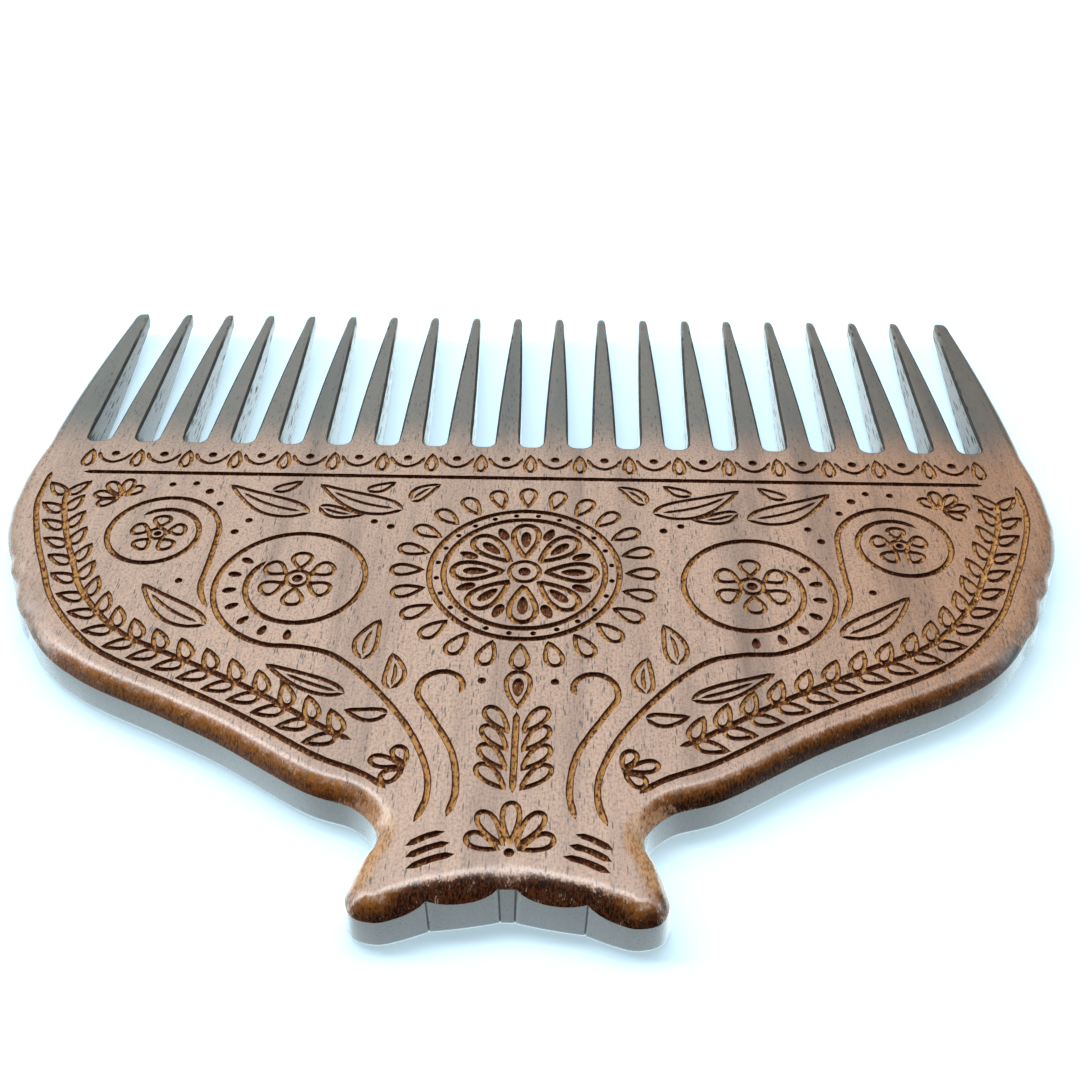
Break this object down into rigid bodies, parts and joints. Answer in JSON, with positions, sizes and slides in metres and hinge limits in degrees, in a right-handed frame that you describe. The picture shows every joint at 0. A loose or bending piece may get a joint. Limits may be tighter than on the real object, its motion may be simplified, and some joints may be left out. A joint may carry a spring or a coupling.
{
  "type": "wide-tooth comb",
  "caption": "Flat wooden grip comb: a fan-shaped body with a waisted tail, a rounded rim and a straight row of wide-set tapered teeth.",
  "frame": {"origin": "middle of the outline, in the plane of the flat back", "axes": "+X across the row of teeth, +Y from the tail to the tooth tips, +Z out of the carved front face"},
  "size_m": [0.1408, 0.116, 0.0054],
  "materials": {
    "stained_hardwood": "dark stained hardwood with a satin lacquer, burnt brown in the carved lines and round the rim"
  },
  "bodies": {
    "root": {"comb_body": "stained_hardwood", "guard_tooth_left": "stained_hardwood", "tooth_02": "stained_hardwood", "tooth_03": "stained_hardwood", "tooth_04": "stained_hardwood", "tooth_05": "stained_hardwood", "tooth_06": "stained_hardwood", "tooth_07": "stained_hardwood", "tooth_08": "stained_hardwood", "tooth_09": "stained_hardwood", "tooth_10": "stained_hardwood", "tooth_11": "stained_hardwood", "tooth_12": "stained_hardwood", "tooth_13": "stained_hardwood", "tooth_14": "stained_hardwood", "tooth_15": "stained_hardwood", "tooth_16": "stained_hardwood", "tooth_17": "stained_hardwood", "tooth_18": "stained_hardwood", "tooth_19": "stained_hardwood", "guard_tooth_right": "stained_hardwood"}
  },
  "joints": []
}
